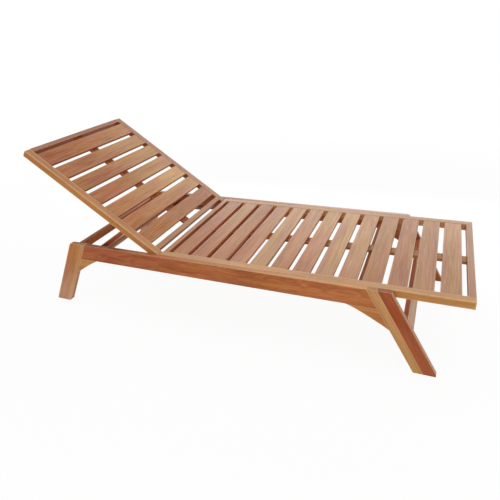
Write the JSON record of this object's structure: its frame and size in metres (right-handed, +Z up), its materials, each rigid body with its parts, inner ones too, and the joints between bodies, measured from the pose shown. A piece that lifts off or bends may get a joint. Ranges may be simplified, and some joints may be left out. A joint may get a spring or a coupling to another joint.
{
  "type": "sun lounger",
  "caption": "Slatted teak sun lounger on splayed board legs, with a tilting slatted backrest held by a folding prop over notched racks.",
  "frame": {"origin": "on the floor, midway between the rear feet and the foot end, on the middle plane between the side frames", "axes": "+X towards the sitter's feet, +Y towards the sitter's left, +Z up"},
  "size_m": [1.8353, 0.706, 0.7362],
  "materials": {
    "teak_slats": "sanded teak, oiled, pale",
    "teak_stiles": "sanded teak, golden",
    "teak_side_rails": "sanded teak, red-brown",
    "teak_legs": "sanded teak, glued staves of two tones",
    "teak_cross_pieces": "sanded teak, darker",
    "teak_prop": "sanded teak, pinkish",
    "stainless_steel": "satin"
  },
  "bodies": {
    "base": {"front_bearer": "teak_cross_pieces", "front_gusset_left": "teak_legs", "front_gusset_right": "teak_legs", "front_leg_left": "teak_legs", "front_leg_right": "teak_legs", "front_stretcher": "teak_cross_pieces", "hinge_board_1": "teak_cross_pieces", "hinge_board_2": "teak_cross_pieces", "hinge_board_3": "teak_cross_pieces", "notched_rack_left": "teak_cross_pieces", "notched_rack_right": "teak_cross_pieces", "pivot_pin_left": "stainless_steel", "pivot_pin_right": "stainless_steel", "pivot_washer_left": "stainless_steel", "pivot_washer_right": "stainless_steel", "rear_cross_rail": "teak_cross_pieces", "rear_gusset_left": "teak_legs", "rear_gusset_right": "teak_legs", "rear_leg_left": "teak_legs", "rear_leg_right": "teak_legs", "seat_batten": "teak_slats", "seat_foot_rail": "teak_stiles", "seat_hinge_rail": "teak_stiles", "seat_slat_01": "teak_slats", "seat_slat_02": "teak_slats", "seat_slat_03": "teak_slats", "seat_slat_04": "teak_slats", "seat_slat_05": "teak_slats", "seat_slat_06": "teak_slats", "seat_slat_07": "teak_slats", "seat_slat_08": "teak_slats", "seat_slat_09": "teak_slats", "seat_slat_10": "teak_slats", "seat_slat_11": "teak_slats", "seat_slat_12": "teak_slats", "seat_slat_13": "teak_slats", "seat_stile_left": "teak_stiles", "seat_stile_right": "teak_stiles", "side_rail_left": "teak_side_rails", "side_rail_right": "teak_side_rails"},
    "backrest": {"back_batten": "teak_slats", "back_bottom_rail": "teak_stiles", "back_slat_1": "teak_slats", "back_slat_2": "teak_slats", "back_slat_3": "teak_slats", "back_slat_4": "teak_slats", "back_slat_5": "teak_slats", "back_slat_6": "teak_slats", "back_slat_7": "teak_slats", "back_stile_left": "teak_stiles", "back_stile_right": "teak_stiles", "back_top_rail": "teak_stiles", "prop_pin_left": "stainless_steel", "prop_pin_right": "stainless_steel"},
    "prop": {"prop_arm_left": "teak_prop", "prop_arm_right": "teak_prop", "prop_crossbar": "teak_prop"}
  },
  "joints": [
    {"name": "backrest_tilt", "type": "hinge", "parent": "base", "child": "backrest", "pos_m": [-0.3027, 0, 0.312], "axis": [0, 1, 0], "range_deg": [-34.83, 30]},
    {"name": "prop_swing", "type": "hinge", "parent": "backrest", "child": "prop", "pos_m": [-0.45863, 0, 0.40831], "axis": [0, 1, 0], "range_deg": [-60, 69.66]}
  ],
  "couplings": [
    {"joint": "prop_swing", "follows": "backrest_tilt", "ratio": -2}
  ]
}
